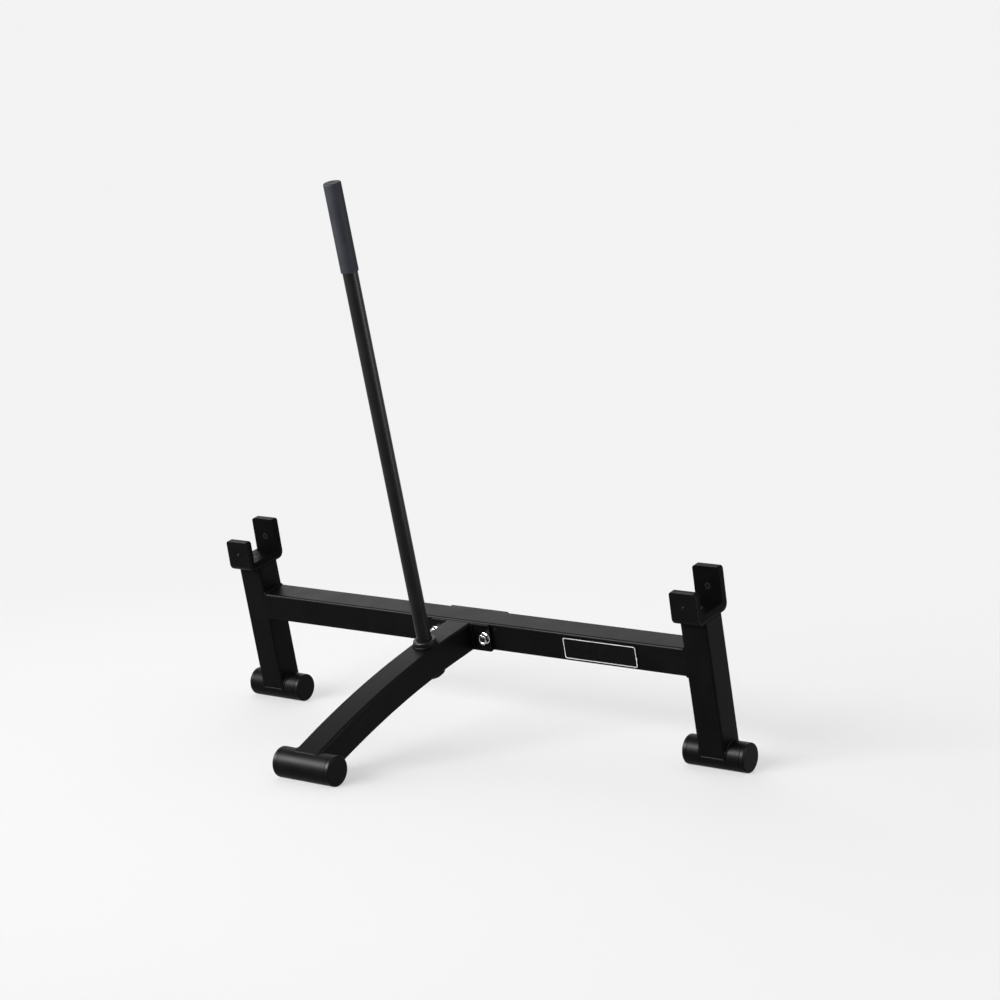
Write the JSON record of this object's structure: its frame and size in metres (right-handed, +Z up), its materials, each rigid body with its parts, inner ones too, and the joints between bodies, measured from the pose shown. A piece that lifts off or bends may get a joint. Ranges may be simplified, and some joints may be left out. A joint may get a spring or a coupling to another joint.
{
  "type": "deadlift jack",
  "caption": "Low welded steel stand with padded cradles that hold a barbell's shaft, a bolted arched front leg on a round foot, and a tall lever handle slipped into a socket in the leg.",
  "frame": {"origin": "on the floor, on the stand's centre plane, midway between the front foot and the rear feet", "axes": "+X along the crossbar and the held bar, +Y from the front foot to the rear feet, +Z up"},
  "size_m": [1.078, 0.532, 0.9677],
  "materials": {
    "powder_coat": "satin black powder coat with a fine texture",
    "cap_plastic": "black moulded plastic, slightly glossy",
    "liner_plastic": "black wear plastic with cut edges",
    "grip_rubber": "dark grey rubber with a dull sheen",
    "zinc": "bright zinc plating",
    "screw_steel": "blackened steel",
    "label": "black plate with a thin pale border"
  },
  "bodies": {
    "stand": {"rear_foot_left_tube": "powder_coat", "rear_foot_left_cap_left": "cap_plastic", "rear_foot_left_cap_right": "cap_plastic", "rear_foot_right_tube": "powder_coat", "rear_foot_right_cap_left": "cap_plastic", "rear_foot_right_cap_right": "cap_plastic", "front_foot_tube": "powder_coat", "front_foot_cap_left": "cap_plastic", "front_foot_cap_right": "cap_plastic", "upright_left": "powder_coat", "upright_right": "powder_coat", "crossbar": "powder_coat", "front_leg": "powder_coat", "leg_flange": "powder_coat", "clamp_plate": "powder_coat", "flange_bolt_left": "zinc", "flange_bolt_right": "zinc", "bolt_nut_left": "zinc", "bolt_nut_right": "zinc", "front_washer_left": "zinc", "front_washer_right": "zinc", "rear_washer_left": "zinc", "rear_washer_right": "zinc", "handle_socket": "powder_coat", "cradle_strap_left": "powder_coat", "cradle_strap_right": "powder_coat", "base_liner_left": "liner_plastic", "base_liner_right": "liner_plastic", "lip_liner_left": "liner_plastic", "lip_liner_right": "liner_plastic", "back_liner_left": "liner_plastic", "back_liner_right": "liner_plastic", "base_liner_screw_left": "screw_steel", "base_liner_screw_right": "screw_steel", "lip_liner_screw_left": "screw_steel", "lip_liner_screw_right": "screw_steel", "back_liner_screw_left": "screw_steel", "back_liner_screw_right": "screw_steel", "label_plate": "label"},
    "handle": {"handle_tube": "powder_coat", "handle_grip": "grip_rubber"}
  },
  "joints": [
    {"name": "handle_lift", "type": "slide", "parent": "stand", "child": "handle", "axis": [0, -0.2947, 0.9556], "range_m": [0, 0.06]}
  ]
}
